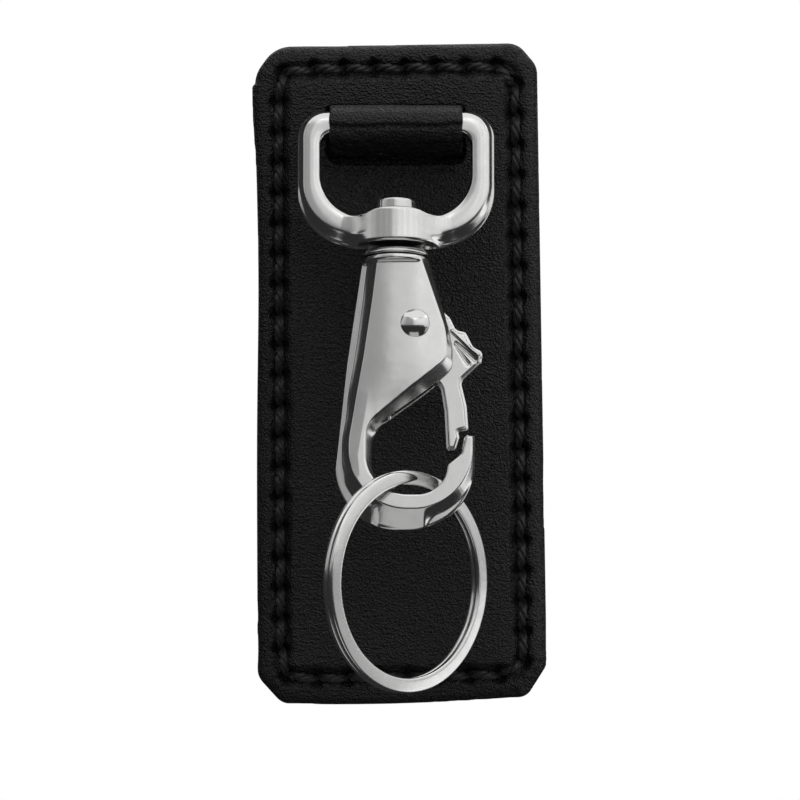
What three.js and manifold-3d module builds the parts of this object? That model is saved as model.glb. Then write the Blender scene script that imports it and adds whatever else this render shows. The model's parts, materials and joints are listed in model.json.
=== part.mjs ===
// Belt key holder: a padded leather panel with a belt loop behind it and a leather tab in front, which
// holds a square eye, a swivel snap hook and a split ring. Millimetres, +Z up, +Y towards the wearer.
// The origin is the centre of the slot that the belt passes through.
import * as THREE from 'three';
import { mergeVertices } from 'three/addons/utils/BufferGeometryUtils.js';
import Module from 'manifold-3d';

const wasm = await Module();
wasm.setup();

// ---------------------------------------------------------------- driving dimensions

// The panel, hand cut and a little out of square: its four corners, then how much each corner is cut
// off, along the horizontal edge and along the side.
const PANEL_CORNERS = [[-19.9, -59.7], [21.7, -58.9], [20.3, 35.3], [-20.3, 34.8]];
const CORNER_CUTS = [[3.6, 5.2], [2.9, 4.8], [4.8, 4.0], [4.7, 5.1]];
const CORNER_ROUND = 2.4;

// Distances in from the panel's edge.
const SEAM_INSET = 3.3;
const PLATEAU_INSET = 4.1;
const SKIN_WALL = 1.1;
const BACK_INSET = 1.6;

// Depths along Y, front to rear.
const PLATEAU_FRONT = -7.6;
const BORDER_FRONT = -6.6;
const CORE_FRONT = -6.35;
const BACK_FRONT = -4.2;
const BACK_REAR = -3.0;
const GROOVE_DEPTH = 0.5;
const THREAD = 0.9;

const TAB_WIDTH = 19.1;
const TAB_THICKNESS = 1.05;
const TAB_TAIL_DEPTH = -5.75;
const TAB_TAIL_TOP = 29.1;
const TAB_TAIL_BOTTOM = 11.4;
const WINDOW_HALF = 10.1;
const WINDOW_TOP = 26.9;
const WINDOW_BOTTOM = 17.9;

const LOOP_WIDTH = 30;
const LOOP_THICKNESS = 1.8;
const LOOP_REAR = 4.8;
const LOOP_HALF_GAP = 23;
const LOOP_END = 29.7;

// The eye's bar, and how far the hanging hook stands off plumb.
const BAR_DEPTH = -13.4;
const BAR_HEIGHT = 23.5;
const HOOK_TILT = 12;

// The hook's pieces, in the tilted frame: u right, v up from the bar, w to the rear.
const EYE_WIRE = 3.4;
const EYE_HALF = 14.1;
const BOSS_RADIUS = 5;
const BOSS_TOP = -13.1;
const BOSS_BOTTOM = -18.1;
const PIN_RADIUS = 1.5;
const PIN_HEAD_RADIUS = 2.95;
const PIN_HEAD_TOP = -11.2;
const PIN_END = -23.6;
const WASHER_RADIUS = 5.05;
const COLLAR_TOP = -20.0;
const COLLAR_RADIUS = 4.9;
const BODY_TOP = -20.8;
const BODY_HALF_DEPTH = 3.5;
const LIMB_HALF_DEPTH = 2.55;
const LIMB_HALF_WIDTH = 2.25;
const LIMB_BEND = { u: 1.65, v: -49.4, radius: 7.7 };
const LIMB_START_ANGLE = 184;
const NOSE_ANGLE = 380;
const NOSE_FLARE = 1.5;
const SLOT_HALF_WIDTH = 1.3;
const GATE_HALF_THICKNESS = 0.95;
const RIVET = { u: 2.75, v: -30 };
const RIVET_RADIUS = 1.2;
const RIVET_HEAD_RADIUS = 2.1;
const FIT_GAP = 0.3;

const RING_OUTER_RADIUS = 15.85;
const RING_BAND = 2.2;
const RING_COIL = 1.12;
const RING_TWIST = 45;
const RING_CENTRE = [1.5, -25.25, -42];

// ---------------------------------------------------------------- helpers

const radians = THREE.MathUtils.degToRad;

/** A closed three.js geometry as a manifold solid. */
function solid(geometry) {
  const bare = geometry.clone();
  bare.deleteAttribute('normal');
  bare.deleteAttribute('uv');
  const merged = mergeVertices(bare, 1e-4);
  return new wasm.Manifold(
    new wasm.Mesh({
      numProp: 3,
      vertProperties: new Float32Array(merged.attributes.position.array),
      triVerts: new Uint32Array(merged.index.array),
    }),
  );
}

/** A named mesh of a manifold solid. */
function part(name, body, material) {
  const { vertProperties, triVerts } = body.getMesh();
  const geometry = new THREE.BufferGeometry();
  geometry.setAttribute('position', new THREE.BufferAttribute(vertProperties, 3));
  geometry.setIndex(new THREE.BufferAttribute(triVerts, 1));
  geometry.computeVertexNormals();
  const mesh = new THREE.Mesh(geometry, material);
  mesh.name = name;
  return mesh;
}

/** A shape drawn in X and Z, as a plate from depth front to depth rear, with rounded rims. */
function plate(shape, front, rear, bevel = 0, bevelSegments = 2) {
  const geometry = new THREE.ExtrudeGeometry(shape, {
    depth: rear - front - 2 * bevel,
    bevelEnabled: bevel > 0,
    bevelSize: bevel,
    bevelOffset: -bevel,
    bevelThickness: bevel,
    bevelSegments,
    curveSegments: 4,
  });
  geometry.translate(0, 0, bevel - rear);
  geometry.rotateX(Math.PI / 2);
  return solid(geometry);
}

/** A shape drawn in Y and Z, carried along X from one end to the other. */
function carriedAlongX(shape, from, to) {
  const geometry = new THREE.ExtrudeGeometry(shape, {
    depth: to - from,
    bevelEnabled: false,
    curveSegments: 8,
  });
  geometry.translate(0, 0, from);
  geometry.applyMatrix4(new THREE.Matrix4().set(0, 0, 1, 0, 1, 0, 0, 0, 0, 1, 0, 0, 0, 0, 0, 1));
  return solid(geometry);
}

/** A solid of revolution about the vertical axis, from [radius, height] points. */
function turned(profile, sides = 20) {
  const geometry = new THREE.LatheGeometry(
    profile.map(([radius, height]) => new THREE.Vector2(radius, height)),
    sides,
  );
  geometry.rotateX(Math.PI / 2);
  return solid(geometry);
}

/** A plain pin along Y, from depth front to depth rear, about (u, v). */
function pinAcross(radius, front, rear, u, v, sides = 16) {
  const geometry = new THREE.CylinderGeometry(radius, radius, rear - front, sides);
  geometry.translate(u, (front + rear) / 2, v);
  return solid(geometry);
}

/** A tube of the same outline all along: each ring is a loop of points, and the ends are capped. */
function tubeOfRings(rings) {
  const count = rings[0].length;
  const positions = rings.flat().flatMap((point) => point.toArray());
  const faces = [];
  for (let r = 0; r + 1 < rings.length; r += 1) {
    for (let i = 0; i < count; i += 1) {
      const a = r * count + i;
      const b = r * count + ((i + 1) % count);
      faces.push(a, b, b + count, a, b + count, a + count);
    }
  }
  const last = (rings.length - 1) * count;
  for (let i = 1; i + 1 < count; i += 1) {
    faces.push(0, i + 1, i, last, last + i, last + i + 1);
  }
  const geometry = new THREE.BufferGeometry();
  geometry.setAttribute('position', new THREE.Float32BufferAttribute(positions, 3));
  geometry.setIndex(faces);
  const body = solid(geometry);
  if (body.volume() > 0) {
    return body;
  }
  geometry.setIndex(faces.slice().reverse());
  return solid(geometry);
}

/** A square section of half width 1 with cut corners: how far each flat runs, across and along. */
function octagon(across, along) {
  return [
    [-1, -along],
    [-across, -1],
    [across, -1],
    [1, -along],
    [1, along],
    [across, 1],
    [-across, 1],
    [-1, along],
  ];
}

/** The panel's corner points, each corner cut off, then everything moved in by inset. */
function panelPoints(inset) {
  const cut = PANEL_CORNERS.flatMap((corner, i) => {
    const [across, along] = CORNER_CUTS[i];
    const x = corner[0] - Math.sign(corner[0]) * across;
    const z = corner[1] - Math.sign(corner[1]) * along;
    const onSide = new THREE.Vector2(corner[0], z);
    const onEdge = new THREE.Vector2(x, corner[1]);
    return i % 2 === 0 ? [onSide, onEdge] : [onEdge, onSide];
  });
  const lines = cut.map((point, i) => {
    const next = cut[(i + 1) % cut.length];
    const along = next.clone().sub(point).normalize();
    const inwards = new THREE.Vector2(-along.y, along.x);
    return { through: point.clone().addScaledVector(inwards, inset), along };
  });
  return lines.map((line, i) => {
    const before = lines[(i + lines.length - 1) % lines.length];
    const gap = line.through.clone().sub(before.through);
    const turn = before.along.cross(line.along);
    return before.through.clone().addScaledVector(before.along, gap.cross(line.along) / turn);
  });
}

/** A closed outline through points, each corner rounded by a curve that starts cut away from it. */
function roundedShape(points, cut) {
  const shape = new THREE.Shape();
  points.forEach((point, i) => {
    const before = points[(i + points.length - 1) % points.length];
    const after = points[(i + 1) % points.length];
    const enter = point.clone().add(before.clone().sub(point).setLength(cut));
    const leave = point.clone().add(after.clone().sub(point).setLength(cut));
    if (i === 0) {
      shape.moveTo(enter.x, enter.y);
    } else {
      shape.lineTo(enter.x, enter.y);
    }
    shape.quadraticCurveTo(point.x, point.y, leave.x, leave.y);
  });
  shape.closePath();
  return shape;
}

/** The panel's outline, moved in by inset. */
function panelShape(inset) {
  return roundedShape(panelPoints(inset), Math.max(CORNER_ROUND - inset / 4, 0.8) / 2);
}

/** A closed band that follows the panel's edge between two insets. */
function bandAlongEdge(outerInset, innerInset, front, rear) {
  const hole = plate(panelShape(innerInset), front - 1, rear + 1);
  return plate(panelShape(outerInset), front, rear).subtract(hole);
}

/** A strap of one thickness along a path drawn in Y and Z. */
function strapShape(path, thickness) {
  const centre = path.getPoints(6);
  const sideOf = (sign) =>
    centre.map((point, i) => {
      const before = centre[Math.max(i - 1, 0)];
      const after = centre[Math.min(i + 1, centre.length - 1)];
      const along = after.clone().sub(before).normalize();
      return new THREE.Vector2(
        point.x - (sign * along.y * thickness) / 2,
        point.y + (sign * along.x * thickness) / 2,
      );
    });
  return new THREE.Shape([...sideOf(1), ...sideOf(-1).reverse()]);
}

/** A row of stitches: a thread along X at one depth, and legs that go through to another depth. */
function stitchRow({ halfWidth, legs, height, runDepth, legDepth, radius }) {
  const run = new THREE.CylinderGeometry(radius, radius, 2 * halfWidth + 2 * radius, 8);
  run.rotateZ(Math.PI / 2);
  run.translate(0, runDepth, height);
  let row = solid(run);
  for (let i = 0; i < legs; i += 1) {
    const x = -halfWidth + (2 * halfWidth * i) / (legs - 1);
    const front = Math.min(runDepth, legDepth);
    const rear = Math.max(runDepth, legDepth);
    row = row.add(pinAcross(radius * 0.9, front, rear, x, height, 8));
  }
  return row;
}

// ---------------------------------------------------------------- materials

const leather = new THREE.MeshStandardMaterial({ color: 0x1a1a1b, roughness: 0.55, metalness: 0 });
const lining = new THREE.MeshStandardMaterial({ color: 0x222222, roughness: 0.75, metalness: 0 });
const fibreboard = new THREE.MeshStandardMaterial({ color: 0x6d5a45, roughness: 0.9, metalness: 0 });
const thread = new THREE.MeshStandardMaterial({ color: 0x0b0b0b, roughness: 0.6, metalness: 0 });
const nickel = new THREE.MeshStandardMaterial({ color: 0xc6c6c4, roughness: 0.2, metalness: 1 });
const steel = new THREE.MeshStandardMaterial({ color: 0xb9babb, roughness: 0.25, metalness: 1 });

// ---------------------------------------------------------------- leather pieces

const tabStitching = [
  { name: 'tab_upper_stitching', height: 28.2 },
  { name: 'tab_lower_stitching', height: 14.4 },
].map((row) => ({ ...row, halfWidth: 7.5, legs: 5, runDepth: -4.65, legDepth: -6.0, radius: 0.3 }));

const loopStitching = [
  { name: 'belt_loop_upper_stitching', height: 28.0 },
  { name: 'belt_loop_lower_stitching', height: -28.0 },
].map((row) => ({ ...row, halfWidth: 13, legs: 7, runDepth: -1.15, legDepth: -3.9, radius: 0.35 }));

/** Cuts a clearance hole for each row of stitches. */
function pierced(body, rows) {
  return rows.reduce(
    (left, row) => left.subtract(stitchRow({ ...row, radius: row.radius + 0.12 })),
    body,
  );
}

/** The skin: a turned border, a stitching groove, and a raised middle with a window for the tab. */
function makeFrontPanel() {
  const border = plate(panelShape(0), BORDER_FRONT, BACK_FRONT, 0.8);
  const raised = plate(panelShape(PLATEAU_INSET), PLATEAU_FRONT, BACK_FRONT - 0.3, 0.7);
  const groove = bandAlongEdge(
    SEAM_INSET - 0.65,
    PLATEAU_INSET - 0.1,
    PLATEAU_FRONT - 1,
    BORDER_FRONT + GROOVE_DEPTH,
  );
  const pocket = plate(panelShape(PLATEAU_INSET + SKIN_WALL), CORE_FRONT - 0.05, BACK_FRONT + 1);
  const corners = [
    [-WINDOW_HALF, WINDOW_BOTTOM],
    [WINDOW_HALF, WINDOW_BOTTOM],
    [WINDOW_HALF, WINDOW_TOP],
    [-WINDOW_HALF, WINDOW_TOP],
  ].map(([x, z]) => new THREE.Vector2(x, z));
  const opening = plate(roundedShape(corners, 1.6), PLATEAU_FRONT - 1, CORE_FRONT + 1);
  return border.add(raised).subtract(groove).subtract(pocket).subtract(opening);
}

/** The stiff board that fills the raised middle, let in for the tab's two tails. */
function makeCoreBoard() {
  const inset = PLATEAU_INSET + SKIN_WALL + 0.15;
  const board = plate(panelShape(inset), CORE_FRONT, BACK_FRONT - 0.05);
  const margin = 0.35;
  const recess = new THREE.Shape([
    new THREE.Vector2(-WINDOW_HALF, TAB_TAIL_BOTTOM - margin),
    new THREE.Vector2(WINDOW_HALF, TAB_TAIL_BOTTOM - margin),
    new THREE.Vector2(WINDOW_HALF, TAB_TAIL_TOP + margin),
    new THREE.Vector2(-WINDOW_HALF, TAB_TAIL_TOP + margin),
  ]);
  const floor = TAB_TAIL_DEPTH + TAB_THICKNESS / 2 + 0.08;
  return pierced(board.subtract(plate(recess, CORE_FRONT - 1, floor)), tabStitching);
}

function makeBackPanel() {
  const panel = plate(panelShape(BACK_INSET), BACK_FRONT + 0.05, BACK_REAR);
  const groove = bandAlongEdge(SEAM_INSET - 0.6, SEAM_INSET + 0.6, BACK_REAR - 0.45, BACK_REAR + 1);
  return pierced(panel.subtract(groove), loopStitching);
}

/** The strap that wraps the eye's bar and runs in through the window, one tail up and one down. */
function makeHookTab() {
  const wrap = EYE_WIRE / 2 + FIT_GAP + TAB_THICKNESS / 2;
  const turn = 1;
  const top = BAR_HEIGHT + wrap;
  const path = new THREE.Path();
  path.moveTo(TAB_TAIL_DEPTH, TAB_TAIL_TOP);
  path.lineTo(TAB_TAIL_DEPTH, top + turn);
  path.absarc(TAB_TAIL_DEPTH - turn, top + turn, turn, 0, -Math.PI / 2, true);
  path.lineTo(BAR_DEPTH, top);
  path.absarc(BAR_DEPTH, BAR_HEIGHT, wrap, Math.PI / 2, Math.PI * 1.5, false);
  path.lineTo(PLATEAU_FRONT, WINDOW_BOTTOM + 1.65);
  path.quadraticCurveTo(TAB_TAIL_DEPTH, WINDOW_BOTTOM + 1.3, TAB_TAIL_DEPTH, WINDOW_BOTTOM - 0.7);
  path.lineTo(TAB_TAIL_DEPTH, TAB_TAIL_BOTTOM);
  const strap = strapShape(path, TAB_THICKNESS);
  return pierced(carriedAlongX(strap, -TAB_WIDTH / 2, TAB_WIDTH / 2), tabStitching);
}

/** The strap behind the panel that the belt passes through. */
function makeBeltLoop() {
  const flat = BACK_REAR + 0.05 + LOOP_THICKNESS / 2;
  const outer = LOOP_REAR - LOOP_THICKNESS / 2;
  const path = new THREE.Path();
  path.moveTo(flat, LOOP_END);
  path.lineTo(flat, LOOP_HALF_GAP + 3);
  path.bezierCurveTo(flat, LOOP_HALF_GAP, outer, LOOP_HALF_GAP + 2, outer, LOOP_HALF_GAP - 2.4);
  path.lineTo(outer, -LOOP_HALF_GAP + 2.4);
  path.bezierCurveTo(
    outer,
    -LOOP_HALF_GAP - 2,
    flat,
    -LOOP_HALF_GAP,
    flat,
    -LOOP_HALF_GAP - 3,
  );
  path.lineTo(flat, -LOOP_END);
  const strap = strapShape(path, LOOP_THICKNESS);
  return pierced(carriedAlongX(strap, -LOOP_WIDTH / 2, LOOP_WIDTH / 2), loopStitching);
}

function makeSeamThread(front) {
  return bandAlongEdge(SEAM_INSET - THREAD / 2, SEAM_INSET + THREAD / 2, front, front + THREAD);
}

// ---------------------------------------------------------------- metal pieces, in the tilted frame

/** The square eye, with a boss in its lower bar for the swivel pin. */
function makeEye() {
  const top = EYE_WIRE / 2;
  const inner = EYE_HALF - EYE_WIRE;
  const outline = new THREE.Shape();
  outline.moveTo(-EYE_HALF, -10.4);
  outline.absarc(-EYE_HALF + 7.6, -10.4, 7.6, Math.PI, Math.PI * 1.5, false);
  outline.absarc(EYE_HALF - 7.6, -10.4, 7.6, -Math.PI / 2, 0, false);
  outline.absarc(EYE_HALF - 3.8, top - 3.8, 3.8, 0, Math.PI / 2, false);
  outline.absarc(-EYE_HALF + 3.8, top - 3.8, 3.8, Math.PI / 2, Math.PI, false);
  const hole = new THREE.Path();
  hole.moveTo(-inner, -9);
  hole.absarc(-inner + 4.6, -9, 4.6, Math.PI, Math.PI * 1.5, false);
  hole.absarc(inner - 4.6, -9, 4.6, -Math.PI / 2, 0, false);
  hole.absarc(inner - 1, -top - 1, 1, 0, Math.PI / 2, false);
  hole.absarc(-inner + 1, -top - 1, 1, Math.PI / 2, Math.PI, false);
  outline.holes.push(hole);
  const loop = plate(outline, -EYE_WIRE / 2, EYE_WIRE / 2, 1.1);
  const boss = turned([
    [0, BOSS_BOTTOM],
    [BOSS_RADIUS - 0.5, BOSS_BOTTOM],
    [BOSS_RADIUS, BOSS_BOTTOM + 0.5],
    [BOSS_RADIUS, BOSS_TOP - 1.2],
    [BOSS_RADIUS - 1.2, BOSS_TOP],
    [0, BOSS_TOP],
  ]);
  const below = turned([
    [0, BOSS_BOTTOM - 3],
    [7, BOSS_BOTTOM - 3],
    [7, BOSS_BOTTOM],
    [0, BOSS_BOTTOM],
  ]);
  const trimmed = loop.subtract(below);
  const bore = PIN_RADIUS + FIT_GAP;
  return trimmed.add(boss).subtract(turned([[0, -25], [bore, -25], [bore, -5], [0, -5]]));
}

/** The headed pin that the hook turns on, pressed into the hook's body. */
function makePin() {
  const under = BOSS_TOP + FIT_GAP;
  return turned([
    [0, PIN_END],
    [PIN_RADIUS, PIN_END],
    [PIN_RADIUS, under],
    [PIN_HEAD_RADIUS, under],
    [PIN_HEAD_RADIUS, PIN_HEAD_TOP - 0.5],
    [PIN_HEAD_RADIUS - 0.6, PIN_HEAD_TOP],
    [0, PIN_HEAD_TOP],
  ]);
}

function makeWasher() {
  const top = BOSS_BOTTOM - FIT_GAP;
  const bottom = COLLAR_TOP + FIT_GAP;
  const hole = PIN_RADIUS + FIT_GAP;
  return turned([
    [hole, bottom],
    [WASHER_RADIUS, bottom],
    [WASHER_RADIUS, top],
    [hole, top],
    [hole, bottom],
  ]);
}

/** The upper part of the hook, which holds the gate: a tapering shank with a slanting lower edge. */
function shankOutline() {
  const points = [
    [-4.8, BODY_TOP],
    [-7.7, -43],
    [-6.4, -45.8],
    [-3.2, -45.4],
    [0.4, -42.6],
    [6.4, -38.9],
    [8.2, -35.4],
    [7.6, -31],
    [5.6, -24.4],
    [4.8, BODY_TOP],
  ];
  return roundedShape(points.map(([u, v]) => new THREE.Vector2(u, v)), 1.5);
}

/** The hook's limb: down the left, round the bend and up to a nose that meets the gate. */
function makeLimb() {
  const section = octagon(0.5, 0.45);
  const ringAt = (u, v, direction, halfWidth, halfDepth) =>
    section.map(([across, deep]) =>
      new THREE.Vector3(
        u + Math.cos(direction) * across * halfWidth,
        deep * halfDepth,
        v + Math.sin(direction) * across * halfWidth,
      ),
    );
  const rings = [];
  const straightSteps = 3;
  for (let i = 0; i < straightSteps; i += 1) {
    const share = i / straightSteps;
    const u = THREE.MathUtils.lerp(-3.9, LIMB_BEND.u - LIMB_BEND.radius, share);
    const v = THREE.MathUtils.lerp(-37, LIMB_BEND.v, share);
    const halfWidth = THREE.MathUtils.lerp(3.3, LIMB_HALF_WIDTH, share);
    const halfDepth = THREE.MathUtils.lerp(3.3, LIMB_HALF_DEPTH, share);
    rings.push(ringAt(u, v, radians(LIMB_START_ANGLE), halfWidth, halfDepth));
  }
  for (let degrees = LIMB_START_ANGLE; degrees <= NOSE_ANGLE; degrees += 14) {
    const towardsNose = THREE.MathUtils.smoothstep(degrees, 320, NOSE_ANGLE);
    const radius = LIMB_BEND.radius + NOSE_FLARE * towardsNose;
    const direction = radians(degrees);
    rings.push(
      ringAt(
        LIMB_BEND.u + radius * Math.cos(direction),
        LIMB_BEND.v + radius * Math.sin(direction),
        direction,
        THREE.MathUtils.lerp(LIMB_HALF_WIDTH, 0.8, towardsNose),
        THREE.MathUtils.lerp(LIMB_HALF_DEPTH, 1.9, towardsNose),
      ),
    );
  }
  return tubeOfRings(rings);
}

/** The die-cast hook, with a slot between two cheeks for the gate and a blind hole for the pin. */
function makeHookBody() {
  const shank = plate(shankOutline(), -BODY_HALF_DEPTH, BODY_HALF_DEPTH, 0.8, 2);
  const sideView = new THREE.Shape(
    [
      [-BODY_HALF_DEPTH, -15],
      [-BODY_HALF_DEPTH, -35],
      [-LIMB_HALF_DEPTH, -46],
      [-LIMB_HALF_DEPTH, -62],
      [LIMB_HALF_DEPTH, -62],
      [LIMB_HALF_DEPTH, -46],
      [BODY_HALF_DEPTH, -35],
      [BODY_HALF_DEPTH, -15],
    ].map(([w, v]) => new THREE.Vector2(w, v)),
  );
  const collar = turned([
    [0, BODY_TOP - 1.5],
    [COLLAR_RADIUS - 0.5, BODY_TOP - 1.5],
    [COLLAR_RADIUS, BODY_TOP - 0.1],
    [COLLAR_RADIUS, COLLAR_TOP],
    [0, COLLAR_TOP],
  ]);
  const slot = new THREE.Shape(
    [
      [-0.9, -25.2],
      [14, -25.2],
      [14, -44.2],
      [0.9, -44.2],
      [-0.9, -36],
    ].map(([u, v]) => new THREE.Vector2(u, v)),
  );
  const pinHole = PIN_RADIUS + FIT_GAP;
  const rivetHole = pinAcross(RIVET_RADIUS + FIT_GAP, -5, 5, RIVET.u, RIVET.v);
  return shank
    .intersect(carriedAlongX(sideView, -15, 20))
    .add(makeLimb())
    .add(collar)
    .subtract(plate(slot, -SLOT_HALF_WIDTH, SLOT_HALF_WIDTH))
    .subtract(turned([[0, PIN_END - FIT_GAP], [pinHole, PIN_END - FIT_GAP], [pinHole, -10], [0, -10]]))
    .subtract(rivetHole);
}

/** The gate: a hub on the rivet, an arm down to the nose, and a ribbed thumb lever. */
function makeGate() {
  const shape = new THREE.Shape();
  const hub = 2.6;
  shape.absarc(RIVET.u, RIVET.v, hub, radians(70), radians(215), false);
  shape.lineTo(6.4, -38.9);
  shape.lineTo(7, -42.1);
  shape.lineTo(7.3, -47.8);
  shape.lineTo(8.5, -47.8);
  shape.lineTo(9.2, -46);
  shape.lineTo(9.1, -45.3);
  shape.lineTo(10.6, -44.9);
  shape.lineTo(10.2, -41.1);
  shape.lineTo(9.4, -38);
  shape.lineTo(10.8, -36.4);
  const thumbLever = [
    [12.4, -35],
    [12.3, -33.6],
    [11.1, -32.8],
    [10, -30.9],
    [8.7, -30.3],
    [7.6, -28.6],
    [6.4, -27.4],
  ];
  shape.splineThru(thumbLever.map(([u, v]) => new THREE.Vector2(u, v)));
  shape.closePath();
  const hole = pinAcross(RIVET_RADIUS + FIT_GAP, -5, 5, RIVET.u, RIVET.v);
  return plate(shape, -GATE_HALF_THICKNESS, GATE_HALF_THICKNESS).subtract(hole);
}

/** The rivet that joins the cheeks and carries the gate, domed at both ends. */
function makeRivet() {
  const under = BODY_HALF_DEPTH + 0.15;
  const domeHeight = 1.1;
  const dome = [0, 30, 60, 90].map((angle) => [
    RIVET_HEAD_RADIUS * Math.cos(radians(angle)),
    under + domeHeight * Math.sin(radians(angle)),
  ]);
  const upper = [[RIVET_RADIUS, under], ...dome.slice(0, 3), [0, under + domeHeight]];
  const lower = upper.map(([radius, height]) => [radius, -height]).reverse();
  const geometry = new THREE.LatheGeometry(
    [...lower, ...upper].map(([radius, height]) => new THREE.Vector2(radius, height)),
    16,
  );
  geometry.translate(RIVET.u, 0, RIVET.v);
  return solid(geometry);
}

/** A small coil spring between the slot's wall and the gate's arm, which keeps the gate shut. */
function makeGateSpring() {
  const turns = 4;
  const stepsPerTurn = 8;
  const coilRadius = 0.75;
  const wireRadius = 0.16;
  const from = -0.6;
  const to = 1.75;
  const height = -34.2;
  const rings = [];
  for (let i = 0; i <= turns * stepsPerTurn; i += 1) {
    const angle = (2 * Math.PI * i) / stepsPerTurn;
    const outwards = new THREE.Vector3(0, Math.cos(angle), Math.sin(angle));
    const centre = new THREE.Vector3(from + ((to - from) * i) / (turns * stepsPerTurn), 0, height);
    centre.addScaledVector(outwards, coilRadius);
    rings.push(
      [0, 60, 120, 180, 240, 300].map((degrees) =>
        centre
          .clone()
          .addScaledVector(outwards, wireRadius * Math.cos(radians(degrees)))
          .add(new THREE.Vector3(wireRadius * Math.sin(radians(degrees)), 0, 0)),
      ),
    );
  }
  return tubeOfRings(rings);
}

/** A split ring: one flat wire wound twice, each turn stepping across to lie beside the other. */
function makeSplitRing() {
  const stepsPerTurn = 36;
  const turns = 1.96;
  const stepOver = 0.12;
  const side = (RING_COIL + 0.04) / 2;
  const middle = RING_OUTER_RADIUS - RING_BAND / 2;
  const section = octagon(0.6, 0.6);
  const count = Math.round(stepsPerTurn * turns);
  const rings = [];
  for (let i = 0; i <= count; i += 1) {
    const turn = (turns * i) / count;
    const crossing = THREE.MathUtils.smoothstep(turn, turns / 2 - stepOver / 2, turns / 2 + stepOver / 2);
    const offset = side * (2 * crossing - 1);
    const angle = 2 * Math.PI * turn + radians(84);
    const outwards = new THREE.Vector3(Math.cos(angle), 0, Math.sin(angle));
    rings.push(
      section.map(([across, along]) =>
        outwards
          .clone()
          .multiplyScalar(middle + (across * RING_BAND) / 2)
          .add(new THREE.Vector3(0, offset + (along * RING_COIL) / 2, 0)),
      ),
    );
  }
  return tubeOfRings(rings);
}

// ---------------------------------------------------------------- assembly

const keyHolder = new THREE.Group();
keyHolder.add(
  part('front_panel', makeFrontPanel(), leather),
  part('core_board', makeCoreBoard(), fibreboard),
  part('back_panel', makeBackPanel(), lining),
  part('hook_tab', makeHookTab(), leather),
  part('belt_loop', makeBeltLoop(), leather),
  part('seam_needle_thread', makeSeamThread(BORDER_FRONT + GROOVE_DEPTH - 0.05 - THREAD), thread),
  part('seam_bobbin_thread', makeSeamThread(BACK_REAR - 0.4), thread),
);
for (const row of [...tabStitching, ...loopStitching]) {
  keyHolder.add(part(row.name, stitchRow(row), thread));
}

const hangingHook = new THREE.Group();
hangingHook.position.set(0, BAR_DEPTH, BAR_HEIGHT);
hangingHook.rotation.x = -radians(HOOK_TILT);
hangingHook.add(
  part('swivel_eye', makeEye(), nickel),
  part('swivel_pin', makePin(), steel),
  part('swivel_washer', makeWasher(), steel),
  part('hook_body', makeHookBody(), nickel),
  part('gate_lever', makeGate(), nickel),
  part('gate_rivet', makeRivet(), steel),
  part('gate_spring', makeGateSpring(), steel),
);
keyHolder.add(hangingHook);

const splitRing = part('split_ring', makeSplitRing(), nickel);
splitRing.position.set(...RING_CENTRE);
splitRing.rotation.z = radians(RING_TWIST);
keyHolder.add(splitRing);

export default keyHolder;
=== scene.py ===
"""A leather belt key holder: padded panel, leather tab, square eye, swivel snap hook and split ring.

Shapes are worked out in millimetres and written in metres. Metal and leather bodies are smooth level
sets of distance fields, meshed by OpenVDB, so that every edge has a real radius.
"""

import json
import math

import bpy
import numpy as np
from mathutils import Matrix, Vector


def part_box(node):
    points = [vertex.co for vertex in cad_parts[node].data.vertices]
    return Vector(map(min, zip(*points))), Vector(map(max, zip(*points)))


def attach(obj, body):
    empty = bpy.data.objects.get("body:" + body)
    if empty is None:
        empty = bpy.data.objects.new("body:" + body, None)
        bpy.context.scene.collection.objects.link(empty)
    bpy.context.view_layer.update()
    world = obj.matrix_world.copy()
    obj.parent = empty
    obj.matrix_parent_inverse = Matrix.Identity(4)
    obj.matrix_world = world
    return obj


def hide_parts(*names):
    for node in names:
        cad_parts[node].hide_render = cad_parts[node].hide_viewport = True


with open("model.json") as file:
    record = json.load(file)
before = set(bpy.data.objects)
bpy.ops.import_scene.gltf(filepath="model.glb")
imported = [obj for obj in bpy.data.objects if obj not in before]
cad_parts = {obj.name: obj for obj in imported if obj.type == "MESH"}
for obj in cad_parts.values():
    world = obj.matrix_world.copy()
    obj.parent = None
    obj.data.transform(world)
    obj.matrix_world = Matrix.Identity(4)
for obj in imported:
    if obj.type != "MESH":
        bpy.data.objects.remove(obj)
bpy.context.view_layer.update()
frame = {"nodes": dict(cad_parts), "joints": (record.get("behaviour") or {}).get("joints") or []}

import openvdb
from mathutils import Vector

MM = 0.001
RNG = np.random.default_rng(7)
JOINTS = {joint["name"]: joint for joint in frame["joints"]}

# ---- sizes, in millimetres

PANEL_CORNERS = [(-19.9, -59.7), (21.7, -58.9), (20.3, 35.3), (-20.3, 34.8)]
# how much each corner loses across and along the panel, and its rounding, in the same order
CORNER_CUTS = [(3.6, 3.7), (2.9, 4.6), (2.8, 3.3), (2.9, 4.0)]
CORNER_RADII = [2.6, 2.2, 3.0, 4.5]
SEAM_INSET = 3.3
PLATEAU_INSET = 4.15
BORDER_FRONT = -6.6
PLATEAU_FRONT = -7.6
BORDER_REAR = -4.2
BACK_REAR = -3.0
BACK_FRONT = -4.15
BACK_INSET = 1.6
CORE_FRONT_GAP = 6.35
STITCH_PITCH = 4.38
SEAM_CORNER_RADIUS = 2.2
WINDOW_WIDTH = 19.8
WINDOW_BOTTOM = 17.9
WINDOW_TOP = 26.3
TAB_WIDTH = 19.1
TAB_THICKNESS = 0.85
TAB_TAIL_DEPTH = -5.75
LOOP_WIDTH = 30
LOOP_THICKNESS = 1.8
LOOP_REAR = 4.8
LOOP_END = 29.7
LOOP_END_REAR = BACK_REAR + 0.05 + LOOP_THICKNESS
EYE_BAR_RADIUS = 1.7
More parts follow.
